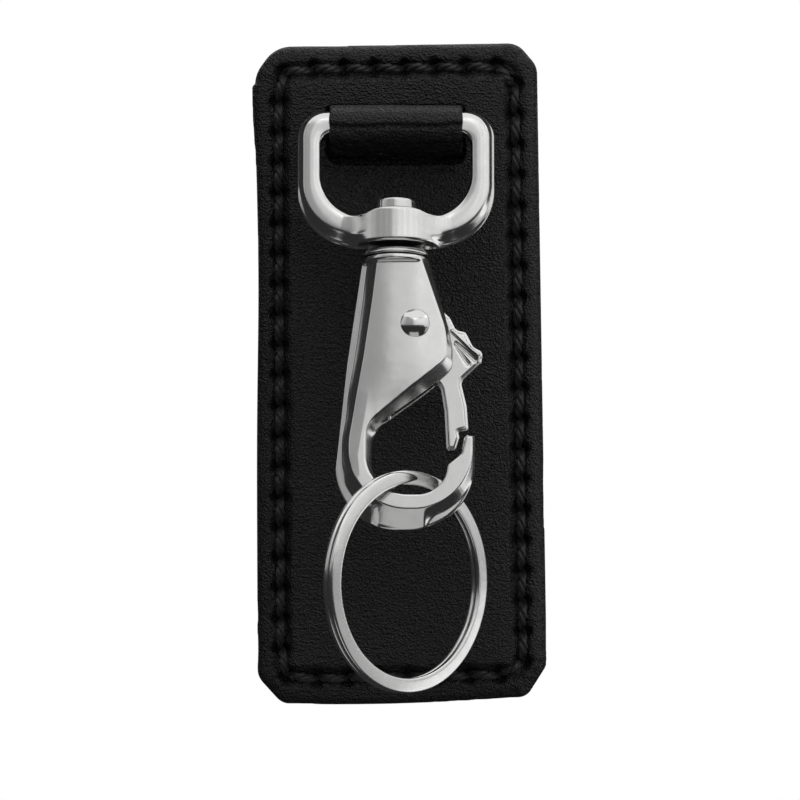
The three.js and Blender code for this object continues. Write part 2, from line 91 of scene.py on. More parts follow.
EYE_BORE_RADIUS = 1.75
HOOK_BORE_RADIUS = 1.7
HOOK_BORE_BOTTOM = -23.8
RIVET_HOLE_RADIUS = 1.3
GATE_SLOT_HALF_DEPTH = 1.3
RING_RADIUS = 15.85
RING_BAND = 2.15
RING_COIL = 0.85
RING_TWIST = math.radians(45)
RING_LIFT = 0.1

BAR = np.array(JOINTS["eye_swing"]["pos_m"]) / MM
SWIVEL_AXIS = Vector(JOINTS["hook_swivel"]["axis"])
HOOK_TILT = math.atan2(SWIVEL_AXIS.y, SWIVEL_AXIS.z)
RIVET_AT = np.array(JOINTS["gate_open"]["pos_m"]) / MM
RIVET_U = RIVET_AT[0]
RIVET_V = (RIVET_AT[2] - BAR[2]) / math.cos(HOOK_TILT)
HOOK_WIDTH_SCALE = 0.975

# ---- meshing helpers


def full_circle(count):
    """Evenly spaced angles all the way round, in radians."""
    return np.linspace(0, 2 * math.pi, count, endpoint=False)


def unit_rows(vectors):
    return vectors / np.linalg.norm(vectors, axis=1)[:, None]


def distances_along(path):
    """How far along a path each of its points lies."""
    lengths = np.linalg.norm(np.diff(np.asarray(path, float), axis=0), axis=1)
    return np.concatenate([[0], np.cumsum(lengths)])


def round_hole(a, b, radius):
    """The field of an endless round bar, to be cut out of a body."""
    return np.sqrt(a**2 + b**2) - radius


def hook_frame_to_world(points):
    """Turns points given as u right, w to the rear and v up from the bar, along the tilted hook."""
    u, w, v = np.asarray(points, float).T
    cosine, sine = math.cos(HOOK_TILT), math.sin(HOOK_TILT)
    return np.stack(
        [u + BAR[0], w * cosine + v * sine + BAR[1], -w * sine + v * cosine + BAR[2]], axis=1
    )


def mesh_object(name, points, faces, material, smooth=True):
    """An object from points in millimetres."""
    mesh = bpy.data.meshes.new(name)
    mesh.from_pydata((np.asarray(points, float) * MM).tolist(), [], [list(map(int, f)) for f in faces])
    mesh.validate()
    if smooth:
        mesh.shade_smooth()
    piece = bpy.data.objects.new(name, mesh)
    bpy.context.scene.collection.objects.link(piece)
    piece.data.materials.append(material)
    return piece


def level_set(field, low, high, step):
    """Points and faces of the surface where field(x, y, z) is 0, with the points moved onto it."""
    axes = [low[i] + step * np.arange(int(math.ceil((high[i] - low[i]) / step)) + 1) for i in range(3)]
    x, y, z = np.meshgrid(*axes, indexing="ij", sparse=True)
    values = np.broadcast_to(field(x, y, z), [len(axis) for axis in axes])
    grid = openvdb.FloatGrid(3 * step)
    grid.copyFromArray(np.ascontiguousarray(np.clip(values, -3 * step, 3 * step), dtype=np.float32))
    points, triangles, quads = grid.convertToPolygons(0.0, 0.0)
    points = points.astype(float) * step + np.asarray(low, float)
    nudge = step * 0.5
    for _ in range(2):
        gradient = np.stack(
            [
                field(*(points + offset).T) - field(*(points - offset).T)
                for offset in np.eye(3) * nudge
            ],
            axis=1,
        ) / (2 * nudge)
        length = np.maximum((gradient**2).sum(axis=1), 0.15)
        shift = gradient * (field(*points.T) / length)[:, None]
        reach = np.linalg.norm(shift, axis=1, keepdims=True)
        points -= shift * np.minimum(1, 0.4 * step / np.maximum(reach, 1e-9))
    faces = [f[::-1] for f in quads.tolist()] + [f[::-1] for f in triangles.tolist()]
    return points, faces


class PlaneMap:
    """A function of two coordinates held on a fine grid and read back smoothly."""

    def __init__(self, low, step, values):
        self.low, self.step, self.values = np.asarray(low, float), step, values

    def __call__(self, x, y):
        nx, ny = self.values.shape
        fx = np.clip((x - self.low[0]) / self.step, 0, nx - 1.001)
        fy = np.clip((y - self.low[1]) / self.step, 0, ny - 1.001)
        ix, iy = fx.astype(int), fy.astype(int)
        tx, ty = fx - ix, fy - iy
        v = self.values
        return (
            v[ix, iy] * (1 - tx) * (1 - ty)
            + v[ix + 1, iy] * tx * (1 - ty)
            + v[ix, iy + 1] * (1 - tx) * ty
            + v[ix + 1, iy + 1] * tx * ty
        )

    def grid(self):
        nx, ny = self.values.shape
        x = self.low[0] + self.step * np.arange(nx)
        y = self.low[1] + self.step * np.arange(ny)
        return np.meshgrid(x, y, indexing="ij")

    def with_values(self, values):
        return PlaneMap(self.low, self.step, values)

    def blurred(self, times):
        values = self.values
        for _ in range(times):
            padded = np.pad(values, 1, mode="edge")
            values = (padded[:-2, 1:-1] + padded[2:, 1:-1] + 2 * values) / 4
            padded = np.pad(values, 1, mode="edge")
            values = (padded[1:-1, :-2] + padded[1:-1, 2:] + 2 * values) / 4
        return self.with_values(values)


def distance_map(outline, step, margin=3.0, box=None):
    """Signed distance to a closed outline, negative inside."""
    outline = np.asarray(outline, float)
    low = outline.min(axis=0) - margin if box is None else np.asarray(box[0], float)
    high = outline.max(axis=0) + margin if box is None else np.asarray(box[1], float)
    shape = np.ceil((high - low) / step).astype(int) + 1
    held = PlaneMap(low, step, np.zeros(shape))
    gx, gy = held.grid()
    best = np.full(gx.shape, 1e9)
    inside = np.zeros(gx.shape, bool)
    for (ax, ay), (bx, by) in zip(outline, np.roll(outline, -1, axis=0)):
        ex, ey = bx - ax, by - ay
        length2 = ex * ex + ey * ey
        if length2 < 1e-12:
            continue
        share = np.clip(((gx - ax) * ex + (gy - ay) * ey) / length2, 0, 1)
        best = np.minimum(best, (gx - ax - share * ex) ** 2 + (gy - ay - share * ey) ** 2)
        if abs(ey) > 1e-12:
            inside ^= ((ay <= gy) != (by <= gy)) & (gx < ax + (gy - ay) * ex / ey)
    return held.with_values(np.where(inside, -np.sqrt(best), np.sqrt(best)))


def distance_like(held, outline):
    """Signed distance to another outline, over the grid that a map has."""
    box = (held.low, held.low + held.step * (np.array(held.values.shape) - 1))
    across, along = held.values.shape
    distance = distance_map(outline, held.step, box=box)
    return distance.with_values(distance.values[:across, :along])


def rounded_outline(corners, degrees_per_step=4.0):
    """A closed outline through (x, y, radius) corners, with each corner rounded by an arc."""
    outline = []
    count = len(corners)
    for i, (x, y, radius) in enumerate(corners):
        here = np.array([x, y], float)
        before = np.array(corners[i - 1][:2], float) - here
        after = np.array(corners[(i + 1) % count][:2], float) - here
        before_length, after_length = np.linalg.norm(before), np.linalg.norm(after)
        before, after = before / before_length, after / after_length
        half = math.acos(max(-1.0, min(1.0, float(before @ after)))) / 2
        if radius <= 0 or half > math.pi / 2 - 1e-3:
            outline.append(here)
            continue
        reach = radius / math.tan(half)
        centre = here + (before + after) / np.linalg.norm(before + after) * radius / math.sin(half)
        start, end = here + before * reach, here + after * reach
        first = math.atan2(*(start - centre)[::-1])
        turn = math.atan2(*(end - centre)[::-1]) - first
        turn = (turn + math.pi) % (2 * math.pi) - math.pi
        steps = max(2, int(abs(math.degrees(turn)) / degrees_per_step))
        for k in range(steps + 1):
            angle = first + turn * k / steps
            outline.append(centre + radius * np.array([math.cos(angle), math.sin(angle)]))
    return np.array(outline)


def rounded_box(left, bottom, right, top, radius, upper_radius=None, degrees_per_step=4.0):
    """A rectangle with rounded corners; the upper two can have a radius of their own."""
    upper = radius if upper_radius is None else upper_radius
    corners = [(left, bottom, radius), (right, bottom, radius), (right, top, upper), (left, top, upper)]
    return rounded_outline(corners, degrees_per_step)


def smoothstep(x, low, high):
    share = np.clip((x - low) / (high - low), 0, 1)
    return share * share * (3 - 2 * share)


def soft_max(a, b, radius):
    """The larger of two fields, with the edge between them rounded."""
    share = np.maximum(radius - np.abs(a - b), 0) / radius
    return np.maximum(a, b) + share * share * radius / 4


def soft_min(a, b, radius):
    return -soft_max(-a, -b, radius)


def steepness(height):
    """How much a height map's slope stretches a distance measured across it."""
    gx, gy = np.gradient(height.values, height.step)
    return height.with_values(np.sqrt(1 + np.minimum(gx**2 + gy**2, 36)))


def stepped_heights(outer, face, top, land, slope, step=0.08):
    """Half-depth over a plate whose face drops steeply to a narrow land along its outline."""
    outer_map = distance_map(outer, step).blurred(2)
    gx, gy = outer_map.grid()
    outside_face = np.maximum(distance_like(outer_map, face).values, 0)
    fall = top(gx, gy) - slope(gx, gy) * outside_face
    ledge = land(gx, gy) - 0.1 * outside_face
    return outer_map, outer_map.with_values(soft_max(fall, ledge, 0.22)).blurred(2)


def extruded_field(outer_map, heights, radius=0.25):
    """The field of a plate, the same front and rear, with that half-depth and outline."""
    slope = steepness(heights)

    def field(x, y, z):
        depth = (np.abs(y) - heights(x, z)) / slope(x, z)
        return soft_max(depth, outer_map(x, z), radius)

    return field


def drum(x, y, z, centre, axis, radius, half_length, rounding=0.0):
    """The field of a cylinder along axis 0, 1 or 2 with rounded rims."""
    offset = [x - centre[0], y - centre[1], z - centre[2]]
    along = np.abs(offset.pop(axis)) - half_length + rounding
    around = np.sqrt(offset[0] ** 2 + offset[1] ** 2) - radius + rounding
    outside = np.sqrt(np.maximum(along, 0) ** 2 + np.maximum(around, 0) ** 2)
    return outside + np.minimum(np.maximum(along, around), 0) - rounding


def revolve(name, profile, material, sides=96, place=None):
    """A solid of revolution about the vertical axis from (radius, height) points, both ends on it."""
    angles = full_circle(sides)
    points, faces = [], []
    inner = profile[1:-1]
    for radius, height in inner:
        points += [(radius * math.cos(a), radius * math.sin(a), height) for a in angles]
    for ring in range(len(inner) - 1):
        for i in range(sides):
            j = (i + 1) % sides
            here, above = ring * sides, (ring + 1) * sides
            faces.append((here + i, here + j, above + j, above + i))
    bottom, top = len(points), len(points) + 1
    points += [(0, 0, profile[0][1]), (0, 0, profile[-1][1])]
    last = (len(inner) - 1) * sides
    for i in range(sides):
        j = (i + 1) % sides
        faces.append((bottom, j, i))
        faces.append((top, last + i, last + j))
    points = np.array(points)
    return mesh_object(name, place(points) if place else points, faces, material)


def arc_points(centre, radius, start, end, steps):
    """Points of an arc from one angle to another, in degrees."""
    angles = np.radians(np.linspace(start, end, steps))
    return [(centre[0] + radius * math.cos(a), centre[1] + radius * math.sin(a)) for a in angles]


def swept(rings, closed=False):
    """Points and faces of a tube through rings of points; open tubes are capped."""
    rings = np.asarray(rings, float)
    count, around = rings.shape[:2]
    faces = []
    for r in range(count if closed else count - 1):
        a, b = r * around, ((r + 1) % count) * around
        for i in range(around):
            j = (i + 1) % around
            faces.append((a + i, a + j, b + j, b + i))
    if not closed:
        faces.append(tuple(range(around))[::-1])
        faces.append(tuple(range((count - 1) * around, count * around)))
    return rings.reshape(-1, 3), faces


# ---- materials


def new_material(name):
    material = bpy.data.materials.new(name)
    material.use_nodes = True
    nodes = material.node_tree.nodes
    return material, nodes, material.node_tree.links, nodes["Principled BSDF"]


def noise_node(nodes, links, coordinates, scale, detail=4.0, roughness=0.55, stretch=None):
    """A noise texture on object coordinates, stretched by a mapping if asked."""
    texture = nodes.new("ShaderNodeTexNoise")
    texture.inputs["Scale"].default_value = scale
    texture.inputs["Detail"].default_value = detail
    texture.inputs["Roughness"].default_value = roughness
    source = coordinates
    if stretch:
        mapping = nodes.new("ShaderNodeMapping")
        mapping.inputs["Scale"].default_value = stretch
        links.new(coordinates, mapping.inputs["Vector"])
        source = mapping.outputs["Vector"]
    links.new(source, texture.inputs["Vector"])
    return texture


def ramp_node(nodes, links, factor, stops):
    """A colour ramp from (position, grey or colour) stops."""
    ramp = nodes.new("ShaderNodeValToRGB")
    while len(ramp.color_ramp.elements) < len(stops):
        ramp.color_ramp.elements.new(0.5)
    for element, (position, colour) in zip(ramp.color_ramp.elements, stops):
        element.position = position
        element.color = (colour,) * 3 + (1,) if isinstance(colour, float) else (*colour, 1)
    links.new(factor, ramp.inputs["Fac"])
    return ramp.outputs["Color"]


def bump_node(nodes, links, height, strength, distance, normal=None):
    bump = nodes.new("ShaderNodeBump")
    bump.inputs["Strength"].default_value = strength
    bump.inputs["Distance"].default_value = distance
    links.new(height, bump.inputs["Height"])
    if normal:
        links.new(normal, bump.inputs["Normal"])
    return bump.outputs["Normal"]


def leather_material(name, tone=0.005, roughness=0.3, grain=1.0, ripple=0.8):
    """Black pebbled leather: small rounded cells, long horizontal ripples and slightly worn tops."""
    material, nodes, links, shader = new_material(name)
    place = nodes.new("ShaderNodeTexCoord").outputs["Object"]
    wobble = noise_node(nodes, links, place, 900, 2)
    shifted = nodes.new("ShaderNodeMixRGB")
    shifted.blend_type = "ADD"
    shifted.inputs["Fac"].default_value = 0.0006
    links.new(place, shifted.inputs["Color1"])
    links.new(wobble.outputs["Color"], shifted.inputs["Color2"])
    cells = nodes.new("ShaderNodeTexVoronoi")
    cells.feature = "SMOOTH_F1"
    cells.inputs["Scale"].default_value = 3500
    cells.inputs["Smoothness"].default_value = 0.35
    links.new(shifted.outputs["Color"], cells.inputs["Vector"])
    fine = noise_node(nodes, links, place, 5200, 3)
    ripples = noise_node(nodes, links, place, 900, 4, 0.6, (0.75, 1.0, 2.7))
    folds = noise_node(nodes, links, place, 160, 4, 0.5, (0.8, 1.0, 1.5))
    normal = bump_node(nodes, links, folds.outputs["Fac"], 0.3, 0.0006)
    normal = bump_node(nodes, links, ripples.outputs["Fac"], ripple, 0.0004, normal)
    normal = bump_node(nodes, links, cells.outputs["Distance"], grain, 0.00025, normal)
    normal = bump_node(nodes, links, fine.outputs["Fac"], 0.3, 0.00008, normal)
    links.new(normal, shader.inputs["Normal"])
    colour = ramp_node(
        nodes,
        links,
        cells.outputs["Distance"],
        [(0.0, (tone * 1.3,) * 3), (0.45, (tone,) * 3), (0.9, (tone * 0.45,) * 3)],
    )
    links.new(colour, shader.inputs["Base Color"])
    gloss = ramp_node(
        nodes, links, folds.outputs["Fac"], [(0.3, roughness - 0.04), (0.7, roughness + 0.06)]
    )
    links.new(gloss, shader.inputs["Roughness"])
    shader.inputs["Specular IOR Level"].default_value = 0.42
    return material


def metal_material(name, tone=0.76, roughness=0.17):
    """Polished nickel plate: faint cast ripple, pits, and fine scratches from keys."""
    material, nodes, links, shader = new_material(name)
    place = nodes.new("ShaderNodeTexCoord").outputs["Object"]
    shader.inputs["Metallic"].default_value = 1.0
    clouds = noise_node(nodes, links, place, 420, 4)
    scratches = noise_node(nodes, links, place, 700, 3, 0.6, (1.0, 1.0, 14.0))
    pits = nodes.new("ShaderNodeTexVoronoi")
    pits.inputs["Scale"].default_value = 900
    links.new(place, pits.inputs["Vector"])
    pit_mask = ramp_node(nodes, links, pits.outputs["Distance"], [(0.0, 0.0), (0.09, 1.0)])
    colour = ramp_node(
        nodes,
        links,
        clouds.outputs["Fac"],
        [(0.25, (tone * 0.93, tone * 0.93, tone * 0.925)), (0.7, (tone, tone, tone * 0.99))],
    )
    links.new(colour, shader.inputs["Base Color"])
    gloss = ramp_node(
        nodes, links, clouds.outputs["Fac"], [(0.25, roughness + 0.05), (0.75, roughness)]
    )
    links.new(gloss, shader.inputs["Roughness"])
    waves = noise_node(nodes, links, place, 260, 2)
    normal = bump_node(nodes, links, waves.outputs["Fac"], 0.12, 0.0002)
    normal = bump_node(nodes, links, scratches.outputs["Fac"], 0.05, 0.00003, normal)
    normal = bump_node(nodes, links, pit_mask, 0.12, 0.00003, normal)
    links.new(normal, shader.inputs["Normal"])
    return material


def thread_material():
    """Waxed black polyester, with fibres along the twist."""
    material, nodes, links, shader = new_material("waxed_thread")
    place = nodes.new("ShaderNodeTexCoord").outputs["Object"]
    fibres = noise_node(nodes, links, place, 5000, 3, 0.6, (1, 1, 0.4))
    normal = bump_node(nodes, links, fibres.outputs["Fac"], 0.4, 0.00008)
    links.new(normal, shader.inputs["Normal"])
    colour = ramp_node(nodes, links, fibres.outputs["Fac"], [(0.3, 0.004), (0.75, 0.011)])
    links.new(colour, shader.inputs["Base Color"])
    gloss = ramp_node(nodes, links, fibres.outputs["Fac"], [(0.3, 0.42), (0.7, 0.58)])
    links.new(gloss, shader.inputs["Roughness"])
    shader.inputs["Sheen Weight"].default_value = 0.15
    return material


def studio_material(name, tone):
    material, nodes, links, shader = new_material(name)
    place = nodes.new("ShaderNodeTexCoord").outputs["Object"]
    mottle = noise_node(nodes, links, place, 6, 2)
    colour = ramp_node(nodes, links, mottle.outputs["Fac"], [(0.3, tone * 0.985), (0.7, tone)])
    links.new(colour, shader.inputs["Base Color"])
    shader.inputs["Roughness"].default_value = 0.9
    shader.inputs["Specular IOR Level"].default_value = 0.1
    return material


LEATHER = leather_material("pebbled_leather")
TAB_LEATHER = leather_material("tab_leather", tone=0.007, roughness=0.33, grain=1.0, ripple=0.5)
LINING = leather_material("lining_leather", tone=0.009, roughness=0.6, grain=0.4, ripple=0.3)
NICKEL = metal_material("polished_nickel")
STEEL = metal_material("polished_steel", tone=0.74, roughness=0.13)
THREAD = thread_material()

# ---- stage, light and camera

VIEW_CENTRE = Vector((0.58, 0.0, -16.1)) * MM
VIEW_WIDTH = 115.2 * MM
CAMERA_DISTANCE = 1.3
# the tent of front panels: brightness, lowest and highest elevation at some azimuths, in degrees
FRONT_PANELS = [
    (-75, 0.55, 5, 41),
    (-45, 0.3, 4, 41),
    (-12, 0.33, 5.5, 41),
    (-3, 0.55, 5.5, 41),
    (2, 0.78, 5.5, 41),
    (12, 0.85, 5.5, 41),
    (45, 0.9, 4, 41),
    (62, 0.85, -4.2, 42),
    (105, 0.7, -4.2, 45),
]
FRONT_PANEL_SPREAD = 15
FRONT_PANEL_DISTANCE = 0.45
# single panels: azimuth, lowest and highest elevation, spread, brightness
SINGLE_PANELS = [
    (-4, -72, -34, 44, 0.5),
    (76, -34, -6.6, 26, 0.45),
    (100, -34, -6.6, 24, 1.1),
    (180, 5, 60, 70, 0.6),
]
OVERHEAD_RADIANCE = 0.95
SURROUND_RADIANCE = 0.03
FLOOR_EDGES = (-160, 160, -90, 88)


def make_camera():
    data = bpy.data.cameras.new("camera")
    data.sensor_width = 36
    plane = PLATEAU_FRONT * MM
    data.lens = 36 * (CAMERA_DISTANCE + plane) / VIEW_WIDTH
    data.clip_end = 20
    camera = bpy.data.objects.new("camera", data)
    camera.location = (VIEW_CENTRE.x, -CAMERA_DISTANCE, VIEW_CENTRE.z)
    camera.rotation_euler = (math.pi / 2, 0, 0)
    bpy.context.scene.collection.objects.link(camera)
    bpy.context.scene.camera = camera


def make_floor():
    """A pale sheet below the object, too low for the front view to take in."""
    height, thickness, radius = -78.0, 3.0, 12.0
    left, right, front, rear = FLOOR_EDGES
    outline = rounded_box(left, front, right, rear, radius)
    rings = [
        [(x, y, height - thickness) for x, y in outline],
        [(x, y, height - 0.5) for x, y in outline],
        [(x * 0.998, y * 0.996, height) for x, y in outline],
    ]
    points, faces = swept(rings)
    floor = mesh_object("floor", points, faces, studio_material("pale_board", 0.86), smooth=False)
    floor.visible_glossy = False


def softbox(name, location, facing, width, height, radiance):
    """A rectangular light of that brightness, in metres, facing along a direction."""
    data = bpy.data.lights.new(name, "AREA")
    data.shape = "RECTANGLE"
    data.size = width
    data.size_y = height
    data.energy = radiance * math.pi * width * height
    light = bpy.data.objects.new(name, data)
    light.location = location
    light.rotation_euler = Vector(facing).to_track_quat("-Z", "Y").to_euler()
    light.visible_camera = False
    bpy.context.scene.collection.objects.link(light)


def panel_at(name, azimuth, low, high, spread, radiance):
    """A soft panel that faces the object and fills those elevations and that width, in degrees."""
    around, lift = math.radians(azimuth), math.radians((low + high) / 2)
    outwards = Vector(
        (math.cos(lift) * math.sin(around), -math.cos(lift) * math.cos(around), math.sin(lift))
    )
    width = 2 * math.tan(math.radians(spread / 2)) * FRONT_PANEL_DISTANCE
    height = 2 * math.tan(math.radians((high - low) / 2)) * FRONT_PANEL_DISTANCE
    softbox(name, outwards * FRONT_PANEL_DISTANCE, -outwards, width, height, radiance)


def make_lights():
    """A tent of soft panels in front, brighter to the right and above."""
    known = list(zip(*FRONT_PANELS))
    for azimuth in range(known[0][0], known[0][-1] + 1, FRONT_PANEL_SPREAD):
        radiance, low, high = (float(np.interp(azimuth, known[0], values)) for values in known[1:])
        panel_at(f"front_{azimuth}", azimuth, low, high, FRONT_PANEL_SPREAD, radiance)
    for azimuth, low, high, spread, radiance in SINGLE_PANELS:
        panel_at(f"panel_{azimuth}", azimuth, low, high, spread, radiance)
    softbox("overhead", (0.02, -0.03, 0.4), (-0.02, 0.02, -0.4), 0.8, 0.72, OVERHEAD_RADIANCE)
    world = bpy.data.worlds.new("studio")
    world.use_nodes = True
    nodes, links = world.node_tree.nodes, world.node_tree.links
    nodes["Background"].inputs["Color"].default_value = (1, 1, 1, 1)
    # the surround is white to look at, and sheds hardly any light
    seen = nodes.new("ShaderNodeLightPath").outputs["Is Camera Ray"]
    strength = nodes.new("ShaderNodeMapRange")
    strength.inputs["To Min"].default_value = SURROUND_RADIANCE
    strength.inputs["To Max"].default_value = 1.0
    links.new(seen, strength.inputs["Value"])
    links.new(strength.outputs["Result"], nodes["Background"].inputs["Strength"])
    bpy.context.scene.world = world
    bpy.context.scene.view_settings.view_transform = "Standard"


# ---- panel


def cut_corners():
    """The panel's four corners cut off, which makes eight."""
    cut = []
    for i, ((x, z), (across, along)) in enumerate(zip(PANEL_CORNERS, CORNER_CUTS)):
        on_side = (x, z - math.copysign(along, z))
        on_edge = (x - math.copysign(across, x), z)
        cut += [on_side, on_edge] if i % 2 == 0 else [on_edge, on_side]
    return cut


def moved_in(polygon, inset):
    """The corners of a counterclockwise polygon whose sides have all moved in."""
    polygon = np.array(polygon, float)
    ahead = unit_rows(np.roll(polygon, -1, axis=0) - polygon)
    through = polygon + inset * np.stack([-ahead[:, 1], ahead[:, 0]], axis=1)
    corners = []
    for i in range(len(polygon)):
        gap = through[i] - through[i - 1]
        cross = ahead[i - 1][0] * ahead[i][1] - ahead[i - 1][1] * ahead[i][0]
        share = (gap[0] * ahead[i][1] - gap[1] * ahead[i][0]) / cross
        corners.append(through[i - 1] + share * ahead[i - 1])
    return np.array(corners)


def panel_outline(inset):
    """The panel's edge, moved in; each cut corner has its own rounding at both ends of the cut."""
    corners = moved_in(cut_corners(), inset)
    return rounded_outline(
        [(x, z, max(CORNER_RADII[i // 2] - inset, 0.8)) for i, (x, z) in enumerate(corners)]
    )


def seam_outline():
    """The line of stitches, which keeps its corners where the panel's are cut off."""
    return rounded_outline([(x, z, SEAM_CORNER_RADIUS) for x, z in moved_in(PANEL_CORNERS, SEAM_INSET)])


def even_points(outline, pitch):
    """Points evenly spaced along a closed outline, with the direction of travel at each."""
    closed = np.vstack([outline, outline[:1]])
    travelled = distances_along(closed)
    count = int(round(travelled[-1] / pitch))
    at = (np.arange(count) + 0.5) * travelled[-1] / count
    points = np.stack([np.interp(at, travelled, closed[:, k]) for k in range(2)], axis=1)
    ahead = np.stack([np.interp(at + 0.2, travelled, closed[:, k]) for k in range(2)], axis=1) - points
    return points, unit_rows(ahead)


SEAM_HOLES, SEAM_AHEAD = even_points(seam_outline(), STITCH_PITCH)


def value_noise(x, z, cell, seed):
    """Smooth random heights from -1 to 1, on a lattice of that cell."""
    table = np.random.default_rng(seed).uniform(-1, 1, (256, 256))
    fx, fz = x / cell + 97.3, z / cell + 61.7
    ix, iz = np.floor(fx).astype(int), np.floor(fz).astype(int)
    tx, tz = fx - ix, fz - iz
    tx, tz = tx * tx * (3 - 2 * tx), tz * tz * (3 - 2 * tz)
    a = table[ix % 256, iz % 256] * (1 - tx) + table[(ix + 1) % 256, iz % 256] * tx
    b = table[ix % 256, (iz + 1) % 256] * (1 - tx) + table[(ix + 1) % 256, (iz + 1) % 256] * tx
    return a * (1 - tz) + b * tz


def make_front_panel():
    """The skin: turned edge, stitching groove with a puckered rim, raised middle and tab window."""
    step = 0.12
    edge = distance_map(panel_outline(0), step, margin=2.0)
    x, z = edge.grid()
    seam = distance_like(edge, seam_outline()).values
    # the turned-over hem is thicker below the top left corner, which steps the outline out
    step_out = smoothstep(-z, -29.6, -29.0) * (1 - smoothstep(-z, -27, -15)) * smoothstep(-x, 14, 18)
    # cut and sewn by hand, the sides aren't straight: the left one draws in, the lower one bows out
    drawn_in = 0.36 * np.exp(-(((z - 1.5) / 17) ** 2)) * smoothstep(-x, 12, 18)
    bowed = 0.5 * np.maximum(1 - ((x + 1.5) / 18) ** 2, 0) * smoothstep(-z, 48, 58)
    edge = edge.with_values(edge.values - 0.42 * step_out + drawn_in - bowed)
    # distance in from the edge, wandering a little as hand-turned leather does
    astray = 0.12 * value_noise(x, z, 6.0, 1) + 0.05 * value_noise(x, z, 1.6, 2)
    inwards = astray - edge.values
    past_seam = astray - seam
    pull = np.zeros_like(x)
    dimple = np.zeros_like(x)
    for (hx, hz), (ax, az) in zip(SEAM_HOLES, SEAM_AHEAD):
        # each hole is a slit, cut across the seam on a slant
        slit = (ax * 0.5 - az * 0.87, az * 0.5 + ax * 0.87)
        long_way = (x - hx) * slit[0] + (z - hz) * slit[1]
        short_way = (z - hz) * slit[0] - (x - hx) * slit[1]
        dimple = np.maximum(dimple, np.exp(-((long_way / 1.1) ** 4 + (short_way / 0.92) ** 4)))
        wide = np.exp(-(((x - hx) / 1.25) ** 2 + ((z - hz) / 1.25) ** 2))
        pull = np.maximum(pull, wide)
    turned = 1.15
    round_share = np.clip((turned - inwards) / turned, 0, 1)
    middle_depth = (BORDER_FRONT + BORDER_REAR) / 2
    half = (BORDER_REAR - BORDER_FRONT) / 2
    border = half * np.sqrt(np.maximum(1 - round_share**2, 0))
    border += 0.14 * smoothstep(inwards, 0.4, 1.6) * (1 - smoothstep(inwards, 1.9, 2.9))
    groove = 0.2 * np.exp(-((past_seam / 0.75) ** 4)) + 1.3 * dimple
    rim = PLATEAU_INSET - SEAM_INSET - 0.3 + 0.45 * pull + 0.22 * value_noise(x, z, 2.6, 6)
    rise = smoothstep(past_seam, rim - 0.2, rim + 1.35)
    swell = 0.16 * smoothstep(past_seam, 1.2, 3.7)
    raised = (BORDER_FRONT - PLATEAU_FRONT) * rise + swell * 0.6
    wander = 0.05 * value_noise(x, z, 9.0, 3) + 0.025 * value_noise(x, z, 2.4, 4)
    # the hem is gathered into small pleats round each corner
    for cx, cz in PANEL_CORNERS:
        hub_x, hub_z = cx - math.copysign(6.5, cx), cz - math.copysign(6.5, cz)
        angle = np.arctan2(z - hub_z, x - hub_x)
        near_corner = smoothstep(-np.hypot(x - cx, z - cz), -9.5, -5) * (1 - smoothstep(inwards, 2.2, 3.2))
        wander = wander + 0.11 * near_corner * value_noise(angle * 9, inwards * 0.7, 1.0, 5)
    fold = np.exp(-(((inwards - 0.95) / 0.16) ** 2)) * smoothstep(x - z, 73, 75)
    wander = wander - 0.22 * fold
    puffed = 0.18 * (1 - pull) * np.exp(-(((past_seam + 1.15) / 0.85) ** 2)) * smoothstep(inwards, 0.3, 1.2)
    front = middle_depth - border - raised + groove - wander - puffed
    # the window that the tab comes through, with a lip that the tab has pushed out
    opening = rounded_box(-WINDOW_WIDTH / 2, WINDOW_BOTTOM, WINDOW_WIDTH / 2, WINDOW_TOP, 1.6, 0.6)
    window = distance_like(edge, opening)
    lip = np.exp(-((window.values - 0.35) / 0.55) ** 2)
    front -= 0.28 * lip * smoothstep(-z, -22, -18)
    front_map = edge.with_values(front).blurred(1)
    rear = middle_depth + half * np.sqrt(np.maximum(1 - round_share**2, 0))
    rear -= (CORE_FRONT_GAP + BORDER_REAR) * smoothstep(inwards, 5.2, 5.5)
    rear_map = edge.with_values(rear).blurred(1)
    front_slope, rear_slope = steepness(front_map), steepness(rear_map)

    def field(px, py, pz):
        ahead = (front_map(px, pz) - py) / front_slope(px, pz)
        behind = (py - rear_map(px, pz)) / rear_slope(px, pz)
        body = np.maximum(np.maximum(ahead, behind), edge(px, pz) - 0.05)
        return soft_max(body, -window(px, pz), 0.5)

    points, faces = level_set(field, (-21.2, -8.6, -60.6), (22.6, -3.6, 36.2), 0.2)
    piece = mesh_object("front_skin", points, faces, LEATHER)
    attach(piece, "panel")
    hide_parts("front_panel")


def twisted_stitch(start, end, sideways, surface, sink, lift, radius):
    """Three strands twisted together, out of one hole and into the next. Depth is along outward."""
    steps, around, strands = 22, 8, 3
    outward = surface["outward"]
    share = np.linspace(0, 1, steps)
    arch = np.sin(math.pi * share**0.85)
    height = -sink + (sink + lift) * arch
    centre = start + (end - start) * share[:, None] + outward * (surface["depth"] + height)[:, None]
    ahead = unit_rows(np.gradient(centre, axis=0))
    across = unit_rows(np.cross(ahead, np.broadcast_to(sideways, ahead.shape)))
    side = np.cross(across, ahead)
    turns = 1.15
    pieces = []
    for strand in range(strands):
        twist = 2 * math.pi * (turns * share + strand / strands)
        middle = centre + 0.5 * radius * (
            np.cos(twist)[:, None] * across + np.sin(twist)[:, None] * side
        )
        rings = [
            [
                m + 0.6 * radius * (math.cos(t) * c + math.sin(t) * b)
                for t in full_circle(around)
            ]
            for m, c, b in zip(middle, across, side)
        ]
        pieces.append(swept(rings))
    return pieces


